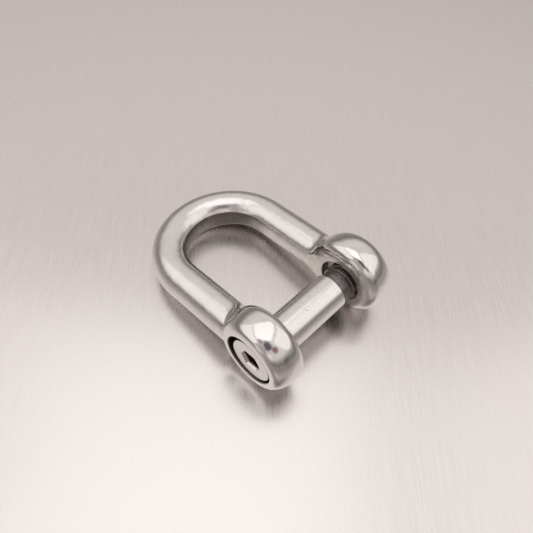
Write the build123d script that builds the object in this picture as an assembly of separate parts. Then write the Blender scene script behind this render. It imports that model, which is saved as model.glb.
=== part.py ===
from build123d import *
from math import asin, degrees
import os

# Two-piece D shackle with a sunk socket-head screw pin, lying on its side as it rests on a table.
# The pin axis is X, with the head at -X and the thread at +X. The crown of the bow is towards +Y.
# The origin is on the pin axis, midway between the inner faces of the two ears. All sizes are in mm.

# Bow: round bar bent into a U, with the inside pressed flat
bar_diameter = 8.0
bar_inside_cut = 0.45        # depth of the flat that runs round the inside of the U
inside_width = 19.0          # between the flat inner faces of the ears
crown_centre = 24.0          # from the ear centre to the centre of the crown's half circle

# Ears: forged discs with a domed rim, the same at both ends of the bar
ear_diameter = 17.4
ear_proud = 0.05             # how far the outer face stands out past the bar
ear_widest = 2.75            # from the inner face to where the ear is widest
inner_face_ring = 1.5        # width of the flat round the lead-in
outer_face_ring = 0.9        # width of the flat round the sinking

# Pin: one turned piece, head, collar, plain shank, neck and thread
shank_diameter = 8.0
shank_edge = 0.35
collar_step = 0.2            # radial, the stretch that the near ear holds over the shank
collar_setback = 0.05        # the collar ends this far inside the ear
head_overhang = 0.65         # radial, the head over the collar
head_height = 3.0
head_edge = 0.15
head_recess = 0.3            # how far the head lies below the ear's outer face
hex_across_flats = 4.5
hex_depth = 3.6
neck_length = 1.8
neck_depth = 0.45            # radial, the neck under the thread crests
thread_undersize = 0.05      # radial, the crests of the M8 thread under the shank
thread_chamfer = 0.8
shoulder_gap = 3.1           # from the end of the plain shank to the far ear's inner face
end_recess = 0.4             # how far the threaded end lies below the far ear's outer face

# Holes in the ears. Sinking and lead-in follow the ear; drilling and tapping follow the pin.
sinking_clearance = 0.75     # radial, round the head
collar_clearance = 0.15      # radial, round the collar
lead_in_clearance = 0.85     # radial, round the thread crests
lead_in_depth = 1.2
thread_clearance = 0.1       # radial, between the thread crests and the tapped hole
drill_offset_y = 0.34        # the drilled axis lies this far off the ear centre, in the bow's plane
drill_offset_z = 0.18        # and this far across the bow's plane

# Axis core inside the shank, the link between the pin's turning and its travel
core_diameter = 2.0
core_length = 8.0
core_clearance = 0.05
core_setback = 4.0           # from the seat of the head

cut_past = 1.0               # how far a cutting tool runs past the face that it opens

bar_radius = bar_diameter / 2
ear_radius = ear_diameter / 2
bar_line = inside_width / 2 + bar_radius - bar_inside_cut
inner_face = inside_width / 2
outer_face = bar_line + bar_radius + ear_proud
crown_reach = crown_centre + bar_line
rest_tilt = degrees(asin((ear_radius - bar_radius) / crown_reach))

shank_radius = shank_diameter / 2
collar_radius = shank_radius + collar_step
head_radius = collar_radius + head_overhang
sinking_radius = head_radius + sinking_clearance
thread_radius = shank_radius - thread_undersize
neck_radius = thread_radius - neck_depth
lead_in_radius = thread_radius + lead_in_clearance
inner_flat_radius = lead_in_radius + inner_face_ring
outer_flat_radius = sinking_radius + outer_face_ring

head_face = -outer_face + head_recess
head_seat = head_face + head_height
collar_end = -inner_face - collar_setback
shank_end = inner_face - shoulder_gap
thread_start = shank_end + neck_length
pin_end = outer_face - end_recess
core_start = head_seat + core_setback


def rod(start, end, radius):
    """A cylinder on the X axis from start to end."""
    return Plane(origin=(start, 0, 0), z_dir=(1, 0, 0)) * Cylinder(
        radius, end - start, align=(Align.CENTER, Align.CENTER, Align.MIN))


def make_ear(side):
    """One ear: a flat disc whose rim is two quarter ellipses that meet where it is widest."""
    widest = inner_face + ear_widest
    rim_in = EllipticalCenterArc((widest, inner_flat_radius), ear_widest,
                                 ear_radius - inner_flat_radius, 90, arc_size=90)
    rim_out = EllipticalCenterArc((widest, outer_flat_radius), outer_face - widest,
                                  ear_radius - outer_flat_radius, 0, arc_size=90)
    edges = [Line((inner_face, 0), (inner_face, inner_flat_radius)), rim_in, rim_out,
             Line((outer_face, outer_flat_radius), (outer_face, 0)),
             Line((outer_face, 0), (inner_face, 0))]
    ear = revolve(make_face(edges), Axis.X)
    return ear if side > 0 else mirror(ear, Plane.YZ)


def make_forging():
    """The bent bar with its flat inside, and its two ears, before drilling."""
    section = Plane.XZ * Pos(bar_line, 0) * Circle(bar_radius)
    leg = extrude(section, -crown_centre)
    crown = revolve(Pos(0, crown_centre, 0) * section, Axis((0, crown_centre, 0), (0, 0, 1)), 180)
    bar = leg + mirror(leg, Plane.YZ) + crown
    slot = Box(inside_width, 2 * crown_centre, ear_diameter)
    slot += Pos(0, crown_centre, 0) * Cylinder(inside_width / 2, ear_diameter)
    return bar - slot + make_ear(1) + make_ear(-1)


def make_bow():
    """The forging, sunk and drilled for the head and collar, opened and tapped for the thread."""
    forging_place = Pos(0, drill_offset_y, drill_offset_z)
    bow = forging_place * make_forging()
    bow -= forging_place * rod(-outer_face - cut_past, head_seat, sinking_radius)
    bow -= forging_place * rod(inner_face - cut_past, inner_face + lead_in_depth, lead_in_radius)
    bow -= rod(head_seat - cut_past, -inner_face + cut_past, collar_radius + collar_clearance)
    return bow - rod(inner_face, outer_face + cut_past, thread_radius + thread_clearance)


def make_pin():
    """Head, collar, shank, neck and threaded end, turned in one piece, with a hexagon socket."""
    outline = Polyline(
        (head_face, 0),
        (head_face, head_radius - head_edge),
        (head_face + head_edge, head_radius),
        (head_seat, head_radius),
        (head_seat, collar_radius),
        (collar_end, collar_radius),
        (collar_end, shank_radius),
        (shank_end - shank_edge, shank_radius),
        (shank_end, shank_radius - shank_edge),
        (shank_end, neck_radius),
        (thread_start, neck_radius),
        (thread_start + neck_depth, thread_radius),
        (pin_end - thread_chamfer, thread_radius),
        (pin_end, thread_radius - thread_chamfer),
        (pin_end, 0),
        close=True)
    body = revolve(make_face(outline), Axis.X)
    key_plane = Plane(origin=(head_face, 0, 0), x_dir=(0, 1, 0), z_dir=(1, 0, 0))
    hexagon = RegularPolygon(hex_across_flats / 2, 6, major_radius=False)
    core_hole = rod(core_start - core_clearance, core_start + core_length + core_clearance,
                    core_diameter / 2 + core_clearance)
    return body - extrude(key_plane * hexagon, hex_depth) - core_hole


parts = {
    "bow": make_bow(),
    "pin": make_pin(),
    "screw_joint_core": rod(core_start, core_start + core_length, core_diameter / 2),
}

os.makedirs("parts", exist_ok=True)
for name, solid in parts.items():
    laid_down = Rot(-rest_tilt, 0, 0) * solid
    laid_down.label = name
    export_step(laid_down, f"parts/{name}.step")
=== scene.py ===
import math

import bmesh
import bpy
import numpy as np
from mathutils import Matrix, Vector


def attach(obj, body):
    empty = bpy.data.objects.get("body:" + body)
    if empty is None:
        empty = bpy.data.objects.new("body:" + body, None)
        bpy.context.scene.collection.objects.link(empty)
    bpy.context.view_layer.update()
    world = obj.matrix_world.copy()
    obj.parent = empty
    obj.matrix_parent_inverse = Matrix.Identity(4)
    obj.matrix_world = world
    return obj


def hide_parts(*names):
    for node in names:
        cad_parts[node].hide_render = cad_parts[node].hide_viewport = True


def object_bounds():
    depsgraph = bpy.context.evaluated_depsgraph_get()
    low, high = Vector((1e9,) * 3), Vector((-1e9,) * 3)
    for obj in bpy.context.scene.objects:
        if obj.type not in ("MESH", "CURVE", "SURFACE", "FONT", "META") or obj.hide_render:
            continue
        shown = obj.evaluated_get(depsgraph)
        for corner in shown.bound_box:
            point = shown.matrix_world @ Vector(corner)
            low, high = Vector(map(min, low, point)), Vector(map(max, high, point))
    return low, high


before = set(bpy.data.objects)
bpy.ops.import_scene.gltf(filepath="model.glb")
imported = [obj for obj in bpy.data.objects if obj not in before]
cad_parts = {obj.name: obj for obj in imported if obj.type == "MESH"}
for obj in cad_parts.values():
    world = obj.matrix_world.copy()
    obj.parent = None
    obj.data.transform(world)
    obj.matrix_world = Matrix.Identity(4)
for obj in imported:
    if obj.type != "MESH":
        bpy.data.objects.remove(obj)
cad_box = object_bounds()

# ---------------------------------------------------------------------------------------------
# Bow: one forging of stainless round bar, bent to a U, its inside pressed flat and an ear upset
# at each end. The head-side ear is sunk and drilled for the pin, the far ear is opened and
# tapped. Ears are mirror polished, the bar is satin, and the pressed inside stays dull.
MM = 0.001
bar_radius = 4.0
inside_cut = 0.45
inner_face = 9.5
crown_centre = 24.0
ear_radius = 8.7
ear_thickness = 7.6
ear_widest = 2.75
ear_press = 0.02            # the ear's inner side stands this proud of the pressed face
inner_flat_radius = 5.4
inner_fullness = 2.35       # 2 would make the rim a plain ellipse
outer_fullness = 2.15
outer_flat_radius = 6.5
valley = 1.9                # the hollow blend between bar and ear reaches this far
valley_out = 16.6           # and has died out this far from the middle of the shackle
skin_grain = 0.25
forging_offset = (0.0, 0.34, 0.18)    # of the ears' centres from the drilled axis
near_axis = 0.01
tiny = 1e-6
sharp_angle = math.radians(28)
bar_line = inner_face + bar_radius - inside_cut
outer_face = inner_face + ear_thickness
rest_tilt = math.asin((ear_radius - bar_radius) / (crown_centre + bar_line))
laid_down = Matrix.Rotation(-rest_tilt, 4, "X")
pin_frame = Matrix.Scale(MM, 4) @ laid_down


def new_object(name, mesh):
    """An object of that name in the scene, at the origin."""
    piece = bpy.data.objects.new(name, mesh)
    bpy.context.scene.collection.objects.link(piece)
    return piece


def turned(name, rows, around=192):
    """A closed solid about the X axis from rows of (x, radius); a radius may be a list, one value
    for each of the directions round the axis. The ends are closed to the axis."""
    turn = np.arange(around) * 2 * math.pi / around
    rings = []
    for x, radius in rows:
        reach = np.broadcast_to(radius, around)
        rings.append(np.stack([np.full(around, x), reach * np.cos(turn), reach * np.sin(turn)], 1))
    points = np.concatenate([[(rows[0][0], 0, 0)], *rings, [(rows[-1][0], 0, 0)]])
    j = np.arange(around)
    k = (j + 1) % around
    last = len(points) - 1
    start = last - around
    faces = np.stack([1 + k, 1 + j, np.zeros_like(j)], 1).tolist()
    for a in range(1, start, around):
        faces += np.stack([a + k, a + around + k, a + around + j, a + j], 1).tolist()
    faces += np.stack([start + k, np.full_like(j, last), start + j], 1).tolist()
    mesh = bpy.data.meshes.new(name)
    mesh.from_pydata(points.tolist(), [], faces)
    return new_object(name, mesh)


def mesh_points(mesh):
    """The mesh's vertices as rows of x, y, z."""
    co = np.empty(len(mesh.vertices) * 3)
    mesh.vertices.foreach_get("co", co)
    return co.reshape(-1, 3)


def evaluated_mesh(piece):
    """The mesh that a piece has with its modifiers, which are then removed."""
    bpy.context.view_layer.update()
    ready = piece.evaluated_get(bpy.context.evaluated_depsgraph_get())
    mesh = bpy.data.meshes.new_from_object(ready)
    piece.modifiers.clear()
    return mesh


def run_nodes(piece, tree, **values):
    """The mesh that a tree makes of a piece, with the tree's named inputs set."""
    work = piece.modifiers.new(tree.name, "NODES")
    work.node_group = tree
    for item in tree.interface.items_tree:
        if item.in_out == "INPUT" and item.name.replace(" ", "_") in values:
            work[item.identifier] = values[item.name.replace(" ", "_")]
    return evaluated_mesh(piece)


def bar_tree():
    """Geometry nodes: round bar of a given radius swept along its path."""
    tree = bpy.data.node_groups.new("round bar", "GeometryNodeTree")
    tree.interface.new_socket("Path", in_out="INPUT", socket_type="NodeSocketGeometry")
    tree.interface.new_socket("Bar Radius", in_out="INPUT", socket_type="NodeSocketFloat")
    tree.interface.new_socket("Sides", in_out="INPUT", socket_type="NodeSocketInt")
    tree.interface.new_socket("Steel", in_out="INPUT", socket_type="NodeSocketMaterial")
    tree.interface.new_socket("Bar", in_out="OUTPUT", socket_type="NodeSocketGeometry")
    given = tree.nodes.new("NodeGroupInput")
    section = tree.nodes.new("GeometryNodeCurvePrimitiveCircle")
    sweep = tree.nodes.new("GeometryNodeCurveToMesh")
    sweep.inputs["Fill Caps"].default_value = True
    realize = tree.nodes.new("GeometryNodeRealizeInstances")
    steel = tree.nodes.new("GeometryNodeSetMaterial")
    made = tree.nodes.new("NodeGroupOutput")
    link = tree.links.new
    link(given.outputs["Bar Radius"], section.inputs["Radius"])
    link(given.outputs["Sides"], section.inputs["Resolution"])
    link(given.outputs["Path"], sweep.inputs["Curve"])
    link(section.outputs["Curve"], sweep.inputs["Profile Curve"])
    link(sweep.outputs["Mesh"], realize.inputs["Geometry"])
    link(realize.outputs["Geometry"], steel.inputs["Geometry"])
    link(given.outputs["Steel"], steel.inputs["Material"])
    link(steel.outputs["Geometry"], made.inputs["Bar"])
    return tree


def rounded_ear(side):
    """Rows of one ear's blank: its inner side stands proud of the pressed face by ear_press."""
    rim_points = 24
    arc = np.linspace(0, math.pi / 2, rim_points)
    deep = ear_widest + ear_press
    rows = [(-ear_press, near_axis)]
    rows += [(ear_widest - deep * math.cos(t) ** (2 / inner_fullness),
              inner_flat_radius + (ear_radius - inner_flat_radius)
              * math.sin(t) ** (2 / inner_fullness)) for t in arc[:-1]]
    rows.append((ear_widest, ear_radius))
    rows += [(ear_widest + (ear_thickness - ear_widest) * math.sin(t) ** (2 / outer_fullness),
              outer_flat_radius + (ear_radius - outer_flat_radius)
              * max(math.cos(t), 0) ** (2 / outer_fullness)) for t in arc[1:]]
    rows.append((ear_thickness, near_axis))
    return [(side * (inner_face + depth), radius) for depth, radius in rows[::side]]


def distance_to_ear(p):
    """How far each point is outside the nearer ear, in mm; negative inside it. Each half of the
    rim is a quarter ellipse, drawn fuller than a plain one, that starts from a flat disc."""
    depth = np.abs(p[:, 0]) - inner_face - ear_widest
    radius = np.hypot(p[:, 1], p[:, 2])
    outer = depth > 0
    flat = np.where(outer, outer_flat_radius, inner_flat_radius)
    deep = np.where(outer, ear_thickness - ear_widest, ear_widest + ear_press)
    across = np.maximum(radius - flat, 0)
    rim = ear_radius - flat
    full = np.where(outer, outer_fullness, inner_fullness)
    a = np.abs(depth) / deep + tiny
    b = across / rim
    share = (a ** full + b ** full) ** (1 / full)
    steep = np.hypot(a ** (full - 1) / deep, b ** (full - 1) / rim)
    return share ** (full - 1) * (share - 1) / steep


def distance_to_bar(p):
    """How far each point is outside the bent round bar, in mm; negative inside it."""
    past = np.maximum(p[:, 1] - crown_centre, 0)
    short = np.minimum(p[:, 1], 0)
    across = np.hypot(p[:, 0], past) - bar_line
    return np.sqrt(across ** 2 + p[:, 2] ** 2 + short ** 2) - bar_radius


def distance_to_forging(p):
    """Bar and ears together, with a hollow valley where they meet. The valley dies out towards
    the outer face, where bar and ear run into each other."""
    bar = distance_to_bar(p)
    ear = distance_to_ear(p)
    fade = np.clip((valley_out - np.abs(p[:, 0])) / (valley_out - bar_line), 0, 1)
    hollow = valley * fade * fade * (3 - 2 * fade) + tiny
    near = np.maximum(hollow - np.abs(bar - ear), 0) / hollow
    return np.minimum(bar, ear) - near ** 2 * hollow / 4


def slope(p, step=0.02):
    """Which way, and how fast, the distance to the forging grows at each point."""
    grad = np.empty_like(p)
    for axis in range(3):
        move = np.zeros(3)
        move[axis] = step
        grad[:, axis] = distance_to_forging(p + move) - distance_to_forging(p - move)
    return grad / (2 * step)


def forge():
    """The bent bar with its two ears in one skin, in the forging's own frame, in mm."""
    bend_points = 97
    leg_points = 40
    bar_sides = 64
    fitting_passes = 4
    least_slope = 0.25
    bend = np.linspace(0, math.pi, bend_points)
    leg = np.linspace(0, crown_centre, leg_points, endpoint=False)
    path = [(bar_line, y, 0) for y in leg]
    path += [(bar_line * math.cos(t), crown_centre + bar_line * math.sin(t), 0) for t in bend]
    path += [(-bar_line, y, 0) for y in leg[::-1]]
    data = bpy.data.curves.new("bar path", "CURVE")
    data.dimensions = "3D"
    spline = data.splines.new("POLY")
    spline.points.add(len(path) - 1)
    for point, place in zip(spline.points, path):
        point.co = (*place, 1)
    route = new_object("bar path", data)
    bar = new_object("bar", run_nodes(route, bar_tree(), Bar_Radius=bar_radius, Sides=bar_sides,
                                      Steel=blank_steel))
    ears = [turned("ear", rounded_ear(side)) for side in (-1, 1)]
    points = [mesh_points(bar.data)]
    faces = [tuple(face.vertices) for face in bar.data.polygons]
    for ear in ears:
        first = sum(len(p) for p in points)
        faces += [tuple(v + first for v in face.vertices) for face in ear.data.polygons]
        points.append(mesh_points(ear.data))
    mesh = bpy.data.meshes.new("blank")
    mesh.from_pydata(np.concatenate(points).tolist(), [], faces)
    for part in (route, bar, *ears):
        bpy.data.objects.remove(part)
    blank = new_object("bow_forging", mesh)
    skin = blank.modifiers.new("skin", "REMESH")
    skin.mode = "VOXEL"
    skin.voxel_size = skin_grain
    blank.data = evaluated_mesh(blank)
    co = mesh_points(blank.data)
    for _ in range(fitting_passes):
        grad = slope(co)
        steepness = np.maximum((grad ** 2).sum(1), least_slope)
        co -= grad * (distance_to_forging(co) / steepness)[:, None]
    blank.data.vertices.foreach_set("co", co.ravel())
    return blank


def cut(piece, tool):
    """Takes the tool's solid out of the piece."""
    work = piece.modifiers.new("cut", "BOOLEAN")
    work.operation = "DIFFERENCE"
    work.solver = "MANIFOLD"
    work.object = tool
    piece.data = evaluated_mesh(piece)
    bpy.data.objects.remove(tool)


def thread_tree():
    """Geometry nodes: sinks a right-hand thread into a turned blank that lies on the X axis."""
    tree = bpy.data.node_groups.new("thread", "GeometryNodeTree")
    tree.interface.new_socket("Blank", in_out="INPUT", socket_type="NodeSocketGeometry")
    for name in ("Pitch", "Phase", "Root Radius", "Depth", "Start"):
        tree.interface.new_socket(name, in_out="INPUT", socket_type="NodeSocketFloat")
    tree.interface.new_socket("Steel", in_out="INPUT", socket_type="NodeSocketMaterial")
    tree.interface.new_socket("Threaded", in_out="OUTPUT", socket_type="NodeSocketGeometry")
    given = tree.nodes.new("NodeGroupInput")
    made = tree.nodes.new("NodeGroupOutput")
    link = tree.links.new
    crest_half = 0.03
    flank_end = 0.42
    run_out_rise = 1.5

    def number(operation, *terms):
        node = tree.nodes.new("ShaderNodeMath")
        node.operation = operation
        for socket, term in zip(node.inputs, terms):
            if isinstance(term, (int, float)):
                socket.default_value = term
            else:
                link(term, socket)
        return node.outputs[0]

    place = tree.nodes.new("GeometryNodeInputPosition")
    split = tree.nodes.new("ShaderNodeSeparateXYZ")
    link(place.outputs[0], split.inputs[0])
    x, y, z = split.outputs
    radius = number("SQRT", number("ADD", number("MULTIPLY", y, y), number("MULTIPLY", z, z)))
    turn = number("DIVIDE", number("ARCTAN2", z, y), 2 * math.pi)
    run = number("DIVIDE", x, given.outputs["Pitch"])
    helix = number("SUBTRACT", run, turn)
    lead = number("FRACT", number("SUBTRACT", helix, given.outputs["Phase"]))
    from_crest = number("MINIMUM", lead, number("SUBTRACT", 1.0, lead))
    crest = tree.nodes.new("ShaderNodeMapRange")
    crest.interpolation_type = "SMOOTHSTEP"
    link(from_crest, crest.inputs["Value"])
    crest.inputs["From Min"].default_value = crest_half
    crest.inputs["From Max"].default_value = flank_end
    crest.inputs["To Min"].default_value = 1.0
    crest.inputs["To Max"].default_value = 0.0
    rise = number("MULTIPLY", crest.outputs[0], given.outputs["Depth"])
    run_out = number("MAXIMUM", 0.0, number("SUBTRACT", given.outputs["Start"], x))
    limit = number("ADD", number("ADD", given.outputs["Root Radius"], rise),
                   number("MULTIPLY", run_out, run_out_rise))
    reach = number("MINIMUM", 1.0, number("DIVIDE", limit, number("MAXIMUM", radius, tiny)))
    joined = tree.nodes.new("ShaderNodeCombineXYZ")
    link(x, joined.inputs[0])
    link(number("MULTIPLY", y, reach), joined.inputs[1])
    link(number("MULTIPLY", z, reach), joined.inputs[2])
    move = tree.nodes.new("GeometryNodeSetPosition")
    link(given.outputs["Blank"], move.inputs["Geometry"])
    link(joined.outputs[0], move.inputs["Position"])
    realize = tree.nodes.new("GeometryNodeRealizeInstances")
    steel = tree.nodes.new("GeometryNodeSetMaterial")
    link(move.outputs[0], realize.inputs[0])
    link(realize.outputs[0], steel.inputs["Geometry"])
    link(given.outputs["Steel"], steel.inputs["Material"])
    link(steel.outputs[0], made.inputs["Threaded"])
    return tree


def rod_rows(*corners, step=0.25):
    """Rows along a turned outline of (x, radius) corners, none further apart than step."""
    rows = []
    for (x0, r0), (x1, r1) in zip(corners, corners[1:]):
        count = max(1, math.ceil(math.hypot(x1 - x0, r1 - r0) / step))
        rows += [(x0 + (x1 - x0) * i / count, r0 + (r1 - r0) * i / count) for i in range(count)]
    return rows + [corners[-1]]


def recess_rows(face, radius, floor):
    """Rows of a cutter that sinks a recess from a face to its floor and breaks its edge."""
    halfway_in = 0.3
    halfway_out = 0.5
    return [(face - past, radius + mouth), (face, radius + mouth),
            (face + halfway_in * mouth, radius + halfway_out * mouth), (face + mouth, radius),
            (floor, radius)]


past = 1.0                  # how far a cutter runs past the face that it opens
mouth = 0.14                # size of a broken edge
thread_pitch = 1.25
thread_phase = 0.05
thread_depth = 0.70
thread_radius = 3.95
tapped_radius = thread_radius + 0.1
sinking_radius = 5.6
sinking_floor = -13.8
collar_hole_radius = 4.35
lead_in_radius = 4.8
lead_in_floor = inner_face + 1.2
countersink_depth = 0.6
countersink_small = 3.5
countersink_wide = 4.25
tap_start = -50.0           # well before the ear, so that the tap cuts at full depth in it
tap_sides = 144
tap_step = 0.07
thread_cut = thread_tree()
blank_steel = bpy.data.materials.new("steel blank")
bow = forge()

press_mesh = bpy.data.meshes.new("press")
press_bend_points = 145
outline = [(-inner_face, -crown_centre), (inner_face, -crown_centre)]
outline += [(inner_face * math.cos(t), crown_centre + inner_face * math.sin(t))
            for t in np.linspace(0, math.pi, press_bend_points)]
sides = len(outline)
press_points = [(x, y, z) for z in (-ear_radius - past, ear_radius + past) for x, y in outline]
press_faces = [tuple(range(sides))[::-1], tuple(range(sides, 2 * sides))]
press_faces += [(i, (i + 1) % sides, sides + (i + 1) % sides, sides + i) for i in range(sides)]
press_mesh.from_pydata(press_points, [], press_faces)
cut(bow, new_object("press", press_mesh))
cut(bow, turned("sinking", recess_rows(-outer_face, sinking_radius, sinking_floor)))
cut(bow, turned("lead_in", recess_rows(inner_face, lead_in_radius, lead_in_floor)))
bow.data.transform(Matrix.Translation(forging_offset))
cut(bow, turned("drill", [(sinking_floor - past, collar_hole_radius + 2 * mouth),
                          (sinking_floor, collar_hole_radius + 2 * mouth),
                          (sinking_floor + 2 * mouth, collar_hole_radius),
                          (-inner_face - mouth, collar_hole_radius),
                          (-inner_face, collar_hole_radius + mouth),
                          (-inner_face + past, collar_hole_radius + mouth)]))
tap = turned("tap", rod_rows((inner_face - past, tapped_radius), (outer_face + past, tapped_radius),
                             step=tap_step), around=tap_sides)
tap.data = run_nodes(tap, thread_cut, Pitch=thread_pitch, Phase=thread_phase,
                     Root_Radius=tapped_radius - thread_depth, Depth=thread_depth,
                     Start=tap_start, Steel=blank_steel)
cut(bow, tap)
cut(bow, turned("countersink", [(outer_face - countersink_depth, countersink_small),
                                (outer_face, countersink_wide),
                                (outer_face + past, countersink_wide)]))

cleaned = bmesh.new()
cleaned.from_mesh(bow.data)
bmesh.ops.triangulate(cleaned, faces=[face for face in cleaned.faces if len(face.verts) > 4])
cleaned.to_mesh(bow.data)
cleaned.free()
on_skin_within = 0.02
on_press_within = 0.01
co = mesh_points(bow.data) - np.array(forging_offset)
face_count = len(bow.data.polygons)
centre = np.empty(face_count * 3)
bow.data.polygons.foreach_get("center", centre)
centre = centre.reshape(-1, 3) - np.array(forging_offset)
corner_vertex = np.empty(len(bow.data.loops), dtype=np.int32)
bow.data.loops.foreach_get("vertex_index", corner_vertex)
corner_count = np.empty(face_count, dtype=np.int32)
bow.data.polygons.foreach_get("loop_total", corner_count)
corner_face = np.repeat(np.arange(face_count), corner_count)
off_skin = np.abs(distance_to_forging(co))
worst = np.zeros(face_count)
np.maximum.at(worst, corner_face, off_skin[corner_vertex])
forged_face = worst < on_skin_within
from_middle = np.where(centre[:, 1] > crown_centre,
                       np.hypot(centre[:, 0], centre[:, 1] - crown_centre), np.abs(centre[:, 0]))
pressed_face = np.abs(from_middle - inner_face) < on_press_within
polished_slot, pressed_slot, bored_slot = 0, 1, 2
finish = np.where(pressed_face, pressed_slot, np.where(forged_face, polished_slot, bored_slot))
finish = finish.astype(np.int32)
ear_start = 1.2
ear_fade = 1.5
bend_fade = 6
inside_start = 1
inside_fade = 3
ear_share = np.clip(ear_start - distance_to_ear(co) / ear_fade, 0, 1)
past_bend = np.clip((co[:, 1] - crown_centre + bend_fade / 2) / bend_fade, 0, 1)
from_crown = np.hypot(co[:, 0], co[:, 1] - crown_centre)
to_inside = np.clip((bar_line + inside_start - from_crown) / inside_fade, 0, 1)
bend_share = past_bend * to_inside
outward = slope(co) @ np.array(laid_down.to_3x3()).T
outward /= np.linalg.norm(outward, axis=1)[:, None]

bow.data.transform(pin_frame)
bow_mesh = bow.data
bow_mesh.polygons.foreach_set("use_smooth", np.ones(face_count, dtype=bool))
bow_mesh.set_sharp_from_angle(angle=sharp_angle)
for name, share in (("ear", ear_share), ("bend", bend_share)):
    mask = bow_mesh.attributes.new(name, "FLOAT", "POINT")
    mask.data.foreach_set("value", share)
normals = np.empty(len(bow_mesh.loops) * 3, dtype=np.float32)
bow_mesh.corner_normals.foreach_get("vector", normals)
normals = normals.reshape(-1, 3)
on_skin = (finish == polished_slot)[corner_face]
normals[on_skin] = outward[corner_vertex[on_skin]]
bow_mesh.normals_split_custom_set(normals.tolist())


def add(tree, kind, settings=(), **inputs):
    """A node of that kind. Inputs are set by name, with _ for a space, to values or to outputs."""
    node = tree.nodes.new(kind)
    for name, value in dict(settings).items():
        setattr(node, name, value)
    for name, value in inputs.items():
        socket = node.inputs[name.replace("_", " ")] if name.replace("_", " ") in node.inputs \
            else node.inputs[int(name[1:])]
        if isinstance(value, bpy.types.NodeSocket):
            tree.links.new(value, socket)
        else:
            socket.default_value = value
    return node


def steel(name):
    """A new metal material: its node tree and its shader."""
    material = bpy.data.materials.new(name)
    material.use_nodes = True
    shader = material.node_tree.nodes["Principled BSDF"]
    shader.inputs["Metallic"].default_value = 1.0
    return material, material.node_tree, shader


def two_tone(tree, value, low, high):
    """A colour between two, by a value from 0 to 1."""
    ramp = add(tree, "ShaderNodeValToRGB", Fac=value)
    ramp.color_ramp.elements[0].color = (*low, 1)
    ramp.color_ramp.elements[1].color = (*high, 1)
    return ramp.outputs["Color"]


def between(tree, value, low, high, start=0.0, end=1.0):
    """A number that runs from low to high as value goes from start to end."""
    return add(tree, "ShaderNodeMapRange", Value=value, From_Min=start, From_Max=end,
               To_Min=low, To_Max=high).outputs["Result"]


noise_span = (0.3, 0.7)     # the part of a noise pattern's values that is spread out

# Polished skin of the forging: mirror bright on the ears, softer on the bar, and a little
# uneven where the inside of the bend was squeezed
polished_tones = ((0.66, 0.635, 0.62), (0.80, 0.775, 0.76))
bar_roughness = 0.21
ear_roughness = 0.075
polished, tree, shader = steel("polished_forging")
place = add(tree, "ShaderNodeTexCoord").outputs["Object"]
on_ear = add(tree, "ShaderNodeAttribute", {"attribute_name": "ear"}).outputs["Fac"]
cloud = add(tree, "ShaderNodeTexNoise", Vector=place, Scale=320.0, Detail=4.0).outputs["Fac"]
speck = add(tree, "ShaderNodeTexNoise", Vector=place, Scale=2600.0, Detail=3.0).outputs["Fac"]
tree.links.new(two_tone(tree, cloud, *polished_tones),
               shader.inputs["Base Color"])
soft = add(tree, "ShaderNodeMath", {"operation": "ADD"},
           _0=between(tree, on_ear, bar_roughness, ear_roughness),
           _1=between(tree, cloud, -0.02, 0.03, *noise_span)).outputs[0]
rough = add(tree, "ShaderNodeMath", {"operation": "ADD"}, _0=soft,
            _1=between(tree, speck, 0.0, 0.05, 0.45, 0.8)).outputs[0]
tree.links.new(rough, shader.inputs["Roughness"])
ripple = add(tree, "ShaderNodeBump", Strength=0.22, Distance=0.0004, Height=cloud)
on_bend = add(tree, "ShaderNodeAttribute", {"attribute_name": "bend"}).outputs["Fac"]
fold = add(tree, "ShaderNodeTexNoise", Vector=place, Scale=420.0, Detail=1.0).outputs["Fac"]
folds = add(tree, "ShaderNodeBump", Strength=between(tree, on_bend, 0.0, 0.16), Distance=0.0005,
            Height=fold, Normal=ripple.outputs[0])
grain = add(tree, "ShaderNodeBump", Strength=between(tree, on_ear, 0.03, 0.012), Distance=0.0001,
            Height=speck, Normal=folds.outputs[0])
tree.links.new(grain.outputs[0], shader.inputs["Normal"])

# Pressed inside of the bow: die skin left as forged, dull and finely pitted; its colour is painted
# lighter on the legs and ears and painted shade on the inside of the crown
leg_lit_tones = ((0.52, 0.485, 0.465), (0.96, 0.925, 0.905))
crown_shaded_tones = ((0.14, 0.124, 0.117), (0.40, 0.37, 0.355))
pressed, tree, shader = steel("pressed_forging")
place = add(tree, "ShaderNodeTexCoord").outputs["Object"]
cloud = add(tree, "ShaderNodeTexNoise", Vector=place, Scale=700.0, Detail=5.0).outputs["Fac"]
pits = add(tree, "ShaderNodeTexNoise", Vector=place, Scale=3800.0, Detail=3.0).outputs["Fac"]
on_bend = add(tree, "ShaderNodeAttribute", {"attribute_name": "bend"}).outputs["Fac"]
# painted light and shade: the bend mask swaps the lighter leg colour for a dark painted shade on
# the crown's inside
lit_or_shaded = add(tree, "ShaderNodeMix", {"data_type": "RGBA"})
tree.links.new(on_bend, lit_or_shaded.inputs[0])
tree.links.new(two_tone(tree, pits, *leg_lit_tones), lit_or_shaded.inputs[6])
tree.links.new(two_tone(tree, pits, *crown_shaded_tones), lit_or_shaded.inputs[7])
tree.links.new(lit_or_shaded.outputs[2], shader.inputs["Base Color"])
tree.links.new(between(tree, cloud, 0.28, 0.42, *noise_span), shader.inputs["Roughness"])
dents = add(tree, "ShaderNodeBump", Strength=0.35, Distance=0.00012, Height=pits)
tree.links.new(dents.outputs[0], shader.inputs["Normal"])

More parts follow.
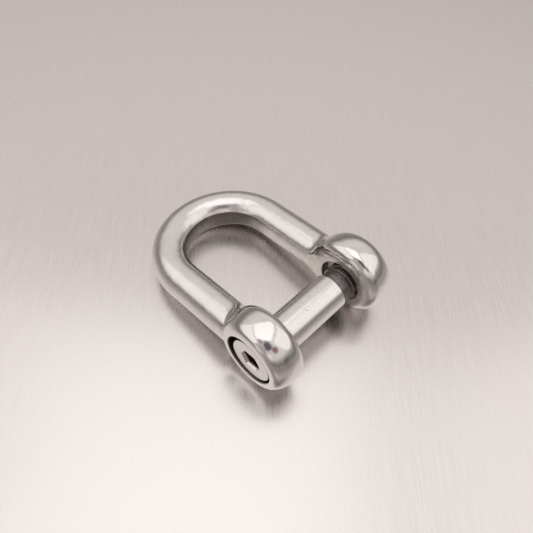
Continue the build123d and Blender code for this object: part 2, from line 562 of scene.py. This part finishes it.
# Drilled, sunk and tapped surfaces: cutter marks run round the hole
bored_tones = ((0.20, 0.18, 0.17), (0.44, 0.405, 0.385))
bored, tree, shader = steel("bored_steel")
place = add(tree, "ShaderNodeTexCoord").outputs["Object"]
split = add(tree, "ShaderNodeSeparateXYZ", Vector=place)
rings = add(tree, "ShaderNodeTexNoise", {"noise_dimensions": "1D"}, W=split.outputs["X"],
            Scale=9000.0, Detail=2.0).outputs["Fac"]
stain = add(tree, "ShaderNodeTexNoise", Vector=place, Scale=500.0, Detail=3.0).outputs["Fac"]
tree.links.new(two_tone(tree, stain, *bored_tones),
               shader.inputs["Base Color"])
tree.links.new(between(tree, rings, 0.22, 0.36, *noise_span), shader.inputs["Roughness"])
marks = add(tree, "ShaderNodeBump", Strength=0.2, Distance=0.00005, Height=rings)
tree.links.new(marks.outputs[0], shader.inputs["Normal"])

bow_mesh.materials.clear()
for material in (polished, pressed, bored):
    bow_mesh.materials.append(material)
bow_mesh.polygons.foreach_set("material_index", finish)
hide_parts("bow")
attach(bow, "bow")

# ---------------------------------------------------------------------------------------------
# Pin: one piece turned from stainless bar, with a sunk hexagon-socket head, a collar that the
# near ear holds, a plain shank, a neck and an M8 thread that screws into the far ear.
shank_radius = 4.0
collar_radius = 4.2
head_radius = 4.85
neck_radius = 3.5
head_face = -outer_face + 0.3
collar_end = -inner_face - 0.05
shank_end = 6.4
thread_start = 8.2
pin_end = outer_face - 0.4
end_chamfer = 0.8
hex_apothem = 2.03
hex_depth = 3.6
socket_flare = 0.5          # the socket widens over this depth
flare_lip = 0.06            # and more steeply over the last of it
flare_low = 0.20
flare_wide = 0.26
socket_point = 0.9          # the drill's cone under the broached hexagon
socket_point_radius = 2.1
face_ring_radii = (2.9, 3.6)
head_edge = 0.22
seat_edge = 0.12
collar_edge = 0.08
shoulder_edge = 0.3
neck_corner = 0.15
neck_row_setback = 0.05
neck_row_rise = 0.04
shoulder_setback = 0.35
collar_setback = 0.1
seat_setback = 0.05
socket_rows = 8
thread_ramp = 0.35
tip_edge = 0.08
tip_ring_radius = 1.5
thread_row_step = 0.055
around_pin = 192
turn = np.arange(around_pin) * 2 * math.pi / around_pin
hexagon = hex_apothem / np.cos((turn % (math.pi / 3)) - math.pi / 6)


def rounded(x, r, size, enter, leave, count=6):
    """Rows of a rounded corner at (x, r). enter and leave are unit steps along (x, radius)."""
    cx = x - size * enter[0] + size * leave[0]
    cr = r - size * enter[1] + size * leave[1]
    rows = []
    for t in np.linspace(0, math.pi / 2, count):
        rows.append((cx - size * leave[0] * math.cos(t) + size * enter[0] * math.sin(t),
                     cr - size * leave[1] * math.cos(t) + size * enter[1] * math.sin(t)))
    return rows


along, out, inward = (1, 0), (0, 1), (0, -1)
socket_floor = head_face + hex_depth
pin_rows = [(socket_floor + socket_point, near_axis), (socket_floor, socket_point_radius),
            (socket_floor, hexagon)]
pin_rows += [(x, hexagon) for x in np.linspace(socket_floor, head_face + socket_flare,
                                               socket_rows)[1:]]
pin_rows += [(head_face + flare_lip, hexagon + flare_low), (head_face, hexagon + flare_wide)]
pin_rows += [(head_face, radius) for radius in face_ring_radii]
pin_rows += rounded(head_face, head_radius, head_edge, out, along)
pin_rows += rounded(sinking_floor, head_radius, seat_edge, along, inward)
pin_rows += [(sinking_floor, collar_radius)]
pin_rows += rod_rows((sinking_floor + seat_setback, collar_radius),
                     (collar_end - collar_setback, collar_radius))
pin_rows += rounded(collar_end, collar_radius, collar_edge, along, inward)
pin_rows += rod_rows((collar_end, shank_radius), (shank_end - shoulder_setback, shank_radius))
pin_rows += rounded(shank_end, shank_radius, shoulder_edge, along, inward)
pin_rows += [(shank_end, neck_radius + neck_corner),
             (shank_end + neck_row_setback, neck_radius + neck_row_rise)]
pin_rows += rod_rows((shank_end + neck_corner, neck_radius), (thread_start, neck_radius),
                     (thread_start + thread_ramp, thread_radius),
                     (pin_end - end_chamfer, thread_radius),
                     (pin_end - tip_edge, thread_radius - end_chamfer + tip_edge),
                     step=thread_row_step)
pin_rows += [(pin_end, thread_radius - end_chamfer), (pin_end, tip_ring_radius),
             (pin_end, near_axis)]
pin = turned("screw_pin", pin_rows, around_pin)
pin.data = run_nodes(pin, thread_cut, Pitch=thread_pitch, Phase=thread_phase,
                     Root_Radius=thread_radius - thread_depth, Depth=thread_depth,
                     Start=thread_start, Steel=blank_steel)
pin_mesh = pin.data
pin_faces = len(pin_mesh.polygons)
centre = np.empty(pin_faces * 3)
pin_mesh.polygons.foreach_get("center", centre)
centre = centre.reshape(-1, 3)
facing = np.empty(pin_faces * 3)
pin_mesh.polygons.foreach_get("normal", facing)
facing = facing.reshape(-1, 3)
axis_distance = np.hypot(centre[:, 1], centre[:, 2])
shank_slot, face_slot, thread_slot, socket_slot = 0, 1, 2, 3
socket_reach = 2.7
socket_end = -9.0
face_depth = 0.2            # the faced finish runs this far over the head's edge
clear_of_face = 0.02
clear_of_shank = 0.01
in_socket = (axis_distance < socket_reach) & (centre[:, 0] < socket_end)
pin_finish = np.full(pin_faces, shank_slot, dtype=np.int32)
pin_finish[centre[:, 0] < head_face + face_depth] = face_slot
pin_finish[centre[:, 0] > shank_end + clear_of_shank] = thread_slot
pin_finish[in_socket & (centre[:, 0] > head_face + clear_of_face)] = socket_slot
pin_mesh.polygons.foreach_set("use_smooth", np.ones(pin_faces, dtype=bool))
pin_mesh.set_sharp_from_angle(angle=sharp_angle)
pin_mesh.transform(pin_frame)

# Shank: polished, with fine marks along it and a few small pits
shank_tones = ((0.70, 0.675, 0.66), (0.82, 0.795, 0.78))
pit_tone = (0.22, 0.20, 0.19, 1)
pit_strength = 0.75
pit_span = (0.68, 0.74)
shank_steel, tree, shader = steel("polished_shank")
place = add(tree, "ShaderNodeTexCoord").outputs["Object"]
stretch = add(tree, "ShaderNodeMapping", Vector=place, Scale=(60.0, 1500.0, 1500.0)).outputs[0]
lines = add(tree, "ShaderNodeTexNoise", Vector=stretch, Scale=1.0, Detail=3.0).outputs["Fac"]
cloud = add(tree, "ShaderNodeTexNoise", Vector=place, Scale=450.0, Detail=4.0).outputs["Fac"]
pits = add(tree, "ShaderNodeTexNoise", Vector=place, Scale=3000.0, Detail=1.0).outputs["Fac"]
pit = between(tree, pits, 0.0, pit_strength, *pit_span)
worn = two_tone(tree, cloud, *shank_tones)
mixed = add(tree, "ShaderNodeMix", {"data_type": "RGBA"})
tree.links.new(pit, mixed.inputs[0])
tree.links.new(worn, mixed.inputs[6])
mixed.inputs[7].default_value = pit_tone
tree.links.new(mixed.outputs[2], shader.inputs["Base Color"])
tree.links.new(between(tree, lines, 0.16, 0.28, *noise_span), shader.inputs["Roughness"])
scratch = add(tree, "ShaderNodeBump", Strength=0.10, Distance=0.00005, Height=lines)
tree.links.new(scratch.outputs[0], shader.inputs["Normal"])

# Face of the head: facing marks run in rings round the axis
face_tones = ((0.60, 0.575, 0.56), (0.84, 0.815, 0.80))
face_steel, tree, shader = steel("faced_head")
place = add(tree, "ShaderNodeTexCoord").outputs["Object"]
flat = add(tree, "ShaderNodeVectorMath", {"operation": "MULTIPLY"}, _0=place, _1=(0.0, 1.0, 1.0))
from_axis = add(tree, "ShaderNodeVectorMath", {"operation": "LENGTH"}, _0=flat.outputs[0])
rings = add(tree, "ShaderNodeTexNoise", {"noise_dimensions": "1D"},
            W=from_axis.outputs["Value"], Scale=11000.0, Detail=2.0).outputs["Fac"]
tree.links.new(two_tone(tree, rings, *face_tones),
               shader.inputs["Base Color"])
tree.links.new(between(tree, rings, 0.16, 0.30, *noise_span), shader.inputs["Roughness"])
ringed = add(tree, "ShaderNodeBump", Strength=0.3, Distance=0.00004, Height=rings)
tree.links.new(ringed.outputs[0], shader.inputs["Normal"])

# Neck and thread: left as turned, with fine rings, and painted much darker than the shank as
# painted shade
thread_shade_tones = ((0.10, 0.09, 0.085), (0.30, 0.275, 0.265))
thread_steel, tree, shader = steel("turned_thread")
place = add(tree, "ShaderNodeTexCoord").outputs["Object"]
split = add(tree, "ShaderNodeSeparateXYZ", Vector=place)
rings = add(tree, "ShaderNodeTexNoise", {"noise_dimensions": "1D"}, W=split.outputs["X"],
            Scale=12000.0, Detail=2.0).outputs["Fac"]
stain = add(tree, "ShaderNodeTexNoise", Vector=place, Scale=900.0, Detail=4.0).outputs["Fac"]
tree.links.new(two_tone(tree, stain, *thread_shade_tones),
               shader.inputs["Base Color"])
tree.links.new(between(tree, rings, 0.24, 0.40, *noise_span), shader.inputs["Roughness"])
ringed = add(tree, "ShaderNodeBump", Strength=0.3, Distance=0.00005, Height=rings)
tree.links.new(ringed.outputs[0], shader.inputs["Normal"])

# Hexagon socket: broached, bright at the mouth and painted darker and browner further in, as
# painted shade
socket_tones = ((0.86, 0.82, 0.79), (0.30, 0.20, 0.145))
shade_start = 0.2
shade_full = 2.4
socket_steel, tree, shader = steel("broached_socket")
place = add(tree, "ShaderNodeTexCoord").outputs["Object"]
stretch = add(tree, "ShaderNodeMapping", Vector=place, Scale=(200.0, 3000.0, 3000.0)).outputs[0]
lines = add(tree, "ShaderNodeTexNoise", Vector=stretch, Scale=1.0, Detail=2.0).outputs["Fac"]
depth = add(tree, "ShaderNodeSeparateXYZ", Vector=place).outputs["X"]
# painted shade: the socket's colour darkens with depth below the head face
painted_depth_shade = between(tree, depth, 0.0, 1.0, (head_face + shade_start) * MM,
                (head_face + shade_full) * MM)
uneven = add(tree, "ShaderNodeMath", {"operation": "MULTIPLY_ADD"}, _0=lines, _1=0.5,
             _2=painted_depth_shade).outputs[0]
tree.links.new(two_tone(tree, uneven, *socket_tones),
               shader.inputs["Base Color"])
tree.links.new(between(tree, lines, 0.16, 0.32, *noise_span), shader.inputs["Roughness"])
broached = add(tree, "ShaderNodeBump", Strength=0.2, Distance=0.00005, Height=lines)
tree.links.new(broached.outputs[0], shader.inputs["Normal"])

pin_mesh.materials.clear()
for material in (shank_steel, face_steel, thread_steel, socket_steel):
    pin_mesh.materials.append(material)
pin_mesh.polygons.foreach_set("material_index", pin_finish)
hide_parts("pin")
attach(pin, "pin")

# ---------------------------------------------------------------------------------------------
# Screw joint core: not a piece of the real shackle, but the link between the pin's turning and
# its travel. A short round steel core on the pin's axis, sealed inside the shank, out of sight.
core_tones = ((0.46, 0.44, 0.43), (0.62, 0.60, 0.59))
core_steel, tree, shader = steel("core_steel")
place = add(tree, "ShaderNodeTexCoord").outputs["Object"]
drawn = add(tree, "ShaderNodeMapping", Vector=place, Scale=(100.0, 2500.0, 2500.0)).outputs[0]
lines = add(tree, "ShaderNodeTexNoise", Vector=drawn, Scale=1.0, Detail=2.0).outputs["Fac"]
tree.links.new(two_tone(tree, lines, *core_tones),
               shader.inputs["Base Color"])
tree.links.new(between(tree, lines, 0.25, 0.40), shader.inputs["Roughness"])
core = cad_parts["screw_joint_core"]
core.data.materials.clear()
core.data.materials.append(core_steel)

# ---------------------------------------------------------------------------------------------
# Plate under the shackle: pale brushed sheet metal, soft enough to blur what it mirrors.
floor_z = cad_box[0].z
floor_half = 0.6
floor_mesh = bpy.data.meshes.new("plate")
floor_mesh.from_pydata([(-floor_half, -floor_half, floor_z), (floor_half, -floor_half, floor_z),
                        (floor_half, floor_half, floor_z), (-floor_half, floor_half, floor_z)],
                       [], [(0, 1, 2, 3)])
floor = new_object("plate", floor_mesh)
brushing_angle = math.radians(-135.0)
grain_way = Matrix.Rotation(brushing_angle, 2)
laid = floor_mesh.uv_layers.new(name="brushing")
for corner, place in zip(laid.data, floor_mesh.vertices):
    corner.uv = grain_way @ place.co.xy
plate_tones = ((0.67, 0.635, 0.618), (0.77, 0.737, 0.72))
plate, tree, shader = steel("brushed_plate")
place = add(tree, "ShaderNodeUVMap", {"uv_map": "brushing"}).outputs["UV"]
drawn_out = add(tree, "ShaderNodeMapping", Vector=place, Scale=(2600.0, 90.0, 1.0)).outputs[0]
brush = add(tree, "ShaderNodeTexNoise", Vector=drawn_out, Scale=1.0, Detail=4.0).outputs["Fac"]
tree.links.new(two_tone(tree, brush, *plate_tones),
               shader.inputs["Base Color"])
tree.links.new(between(tree, brush, 0.25, 0.31, *noise_span), shader.inputs["Roughness"])
across_grain = add(tree, "ShaderNodeTangent", {"direction_type": "UV_MAP", "uv_map": "brushing"})
tree.links.new(across_grain.outputs[0], shader.inputs["Tangent"])
shader.inputs["Anisotropic"].default_value = 0.3
brushed = add(tree, "ShaderNodeBump", Strength=0.008, Distance=0.00005, Height=brush)
tree.links.new(brushed.outputs[0], shader.inputs["Normal"])
floor_mesh.materials.append(plate)

# ---------------------------------------------------------------------------------------------
# Room light: walls that are dim at the horizon and bright above it, a few soft-edged dark and
# bright patches on them, and three rectangular soft boxes.
world = bpy.data.worlds.new("room")
bpy.context.scene.world = world
world.use_nodes = True
tree = world.node_tree
sight = add(tree, "ShaderNodeTexCoord").outputs["Generated"]
height = add(tree, "ShaderNodeSeparateXYZ", Vector=sight).outputs["Z"]
walls = add(tree, "ShaderNodeValToRGB", Fac=height)
walls.color_ramp.elements[0].position = 0.0
walls.color_ramp.elements[0].color = (0.24, 0.215, 0.20, 1)
walls.color_ramp.elements[1].position = 1.0
walls.color_ramp.elements[1].color = (0.95, 0.93, 0.92, 1)
for position, bright in ((0.17, 0.27), (0.30, 0.45), (0.42, 0.74), (0.64, 0.84), (0.80, 0.78)):
    stop = walls.color_ramp.elements.new(position)
    stop.color = (bright, 0.935 * bright, 0.90 * bright, 1)


def heading(azimuth, elevation):
    """A unit step towards an azimuth from +Y round to +X and an elevation, in degrees."""
    a, e = math.radians(azimuth), math.radians(elevation)
    return Vector((math.sin(a) * math.cos(e), math.cos(a) * math.cos(e), math.sin(e)))


dim_wall = (-115, 30, 10, 35, (0.48, 0.44, 0.42, 1))
warm_glow = (-136, 30, 4, 13, (0.98, 0.86, 0.83, 1))
low_glow = (-91, 13, 4, 15, (0.80, 0.78, 0.77, 1))
high_shade = (-93, 61, 3, 9, (0.40, 0.31, 0.34, 1))
slate_patch = (-138, 60, 8, 17, (0.13, 0.135, 0.155, 1))
maroon_patch = (-169, 47, 5, 12, (0.30, 0.19, 0.20, 1))
low_dark = (173, 8, 2, 9, (0.13, 0.125, 0.13, 1))
shade = walls.outputs["Color"]
for azimuth, elevation, core_angle, edge_angle, colour in (
        dim_wall, warm_glow, low_glow, high_shade, slate_patch, maroon_patch, low_dark):
    toward = add(tree, "ShaderNodeVectorMath", {"operation": "DOT_PRODUCT"}, _0=sight,
                 _1=heading(azimuth, elevation))
    amount = add(tree, "ShaderNodeMapRange", {"interpolation_type": "SMOOTHSTEP"},
                 Value=toward.outputs["Value"], From_Min=math.cos(math.radians(edge_angle)),
                 From_Max=math.cos(math.radians(core_angle)))
    blend = add(tree, "ShaderNodeMix", {"data_type": "RGBA"})
    tree.links.new(amount.outputs[0], blend.inputs[0])
    tree.links.new(shade, blend.inputs[6])
    blend.inputs[7].default_value = colour
    shade = blend.outputs[2]
tree.links.new(shade, tree.nodes["Background"].inputs["Color"])


def soft_box(name, azimuth, elevation, distance, width, height, brightness, roll=0.0):
    """A rectangular studio light that faces the shackle from that heading."""
    data = bpy.data.lights.new(name, "AREA")
    data.shape = "RECTANGLE"
    data.size = width
    data.size_y = height
    data.energy = brightness * math.pi * width * height
    lamp = new_object(name, data)
    lamp.location = heading(azimuth, elevation) * distance
    aimed = (-lamp.location).to_track_quat("-Z", "Y").to_matrix()
    lamp.rotation_euler = (aimed @ Matrix.Rotation(math.radians(roll), 3, "Z")).to_euler()


soft_box("left_box", azimuth=-45, elevation=37, distance=0.50, width=0.56, height=0.35,
         brightness=0.34)
soft_box("top_box", azimuth=2, elevation=79, distance=0.45, width=0.36, height=0.37,
         brightness=0.46, roll=45)
soft_box("right_box", azimuth=135, elevation=45, distance=0.50, width=0.46, height=0.41,
         brightness=0.34)

# ---------------------------------------------------------------------------------------------
# Camera: close over the head-side ear, so that the near ear looks larger than the far one.
camera_azimuth = -130.5
camera_elevation = 54.44
camera_distance = 116.3
camera_roll = 5.50
looked_at = (0.97, 13.43, 0.0)
camera_data = bpy.data.cameras.new("camera")
camera_data.sensor_width = 36.0
camera_data.lens = 36.95
camera_data.clip_start = 0.001
camera_data.clip_end = 10.0
camera = new_object("camera", camera_data)
bpy.context.scene.camera = camera
aim = Vector(looked_at) * MM
back = heading(camera_azimuth, camera_elevation)
camera.location = aim + back * camera_distance * MM
upright = (-back).to_track_quat("-Z", "Y").to_matrix()
camera.rotation_euler = (upright @ Matrix.Rotation(math.radians(camera_roll), 3, "Z")).to_euler()
bpy.context.scene.view_settings.view_transform = "Standard"
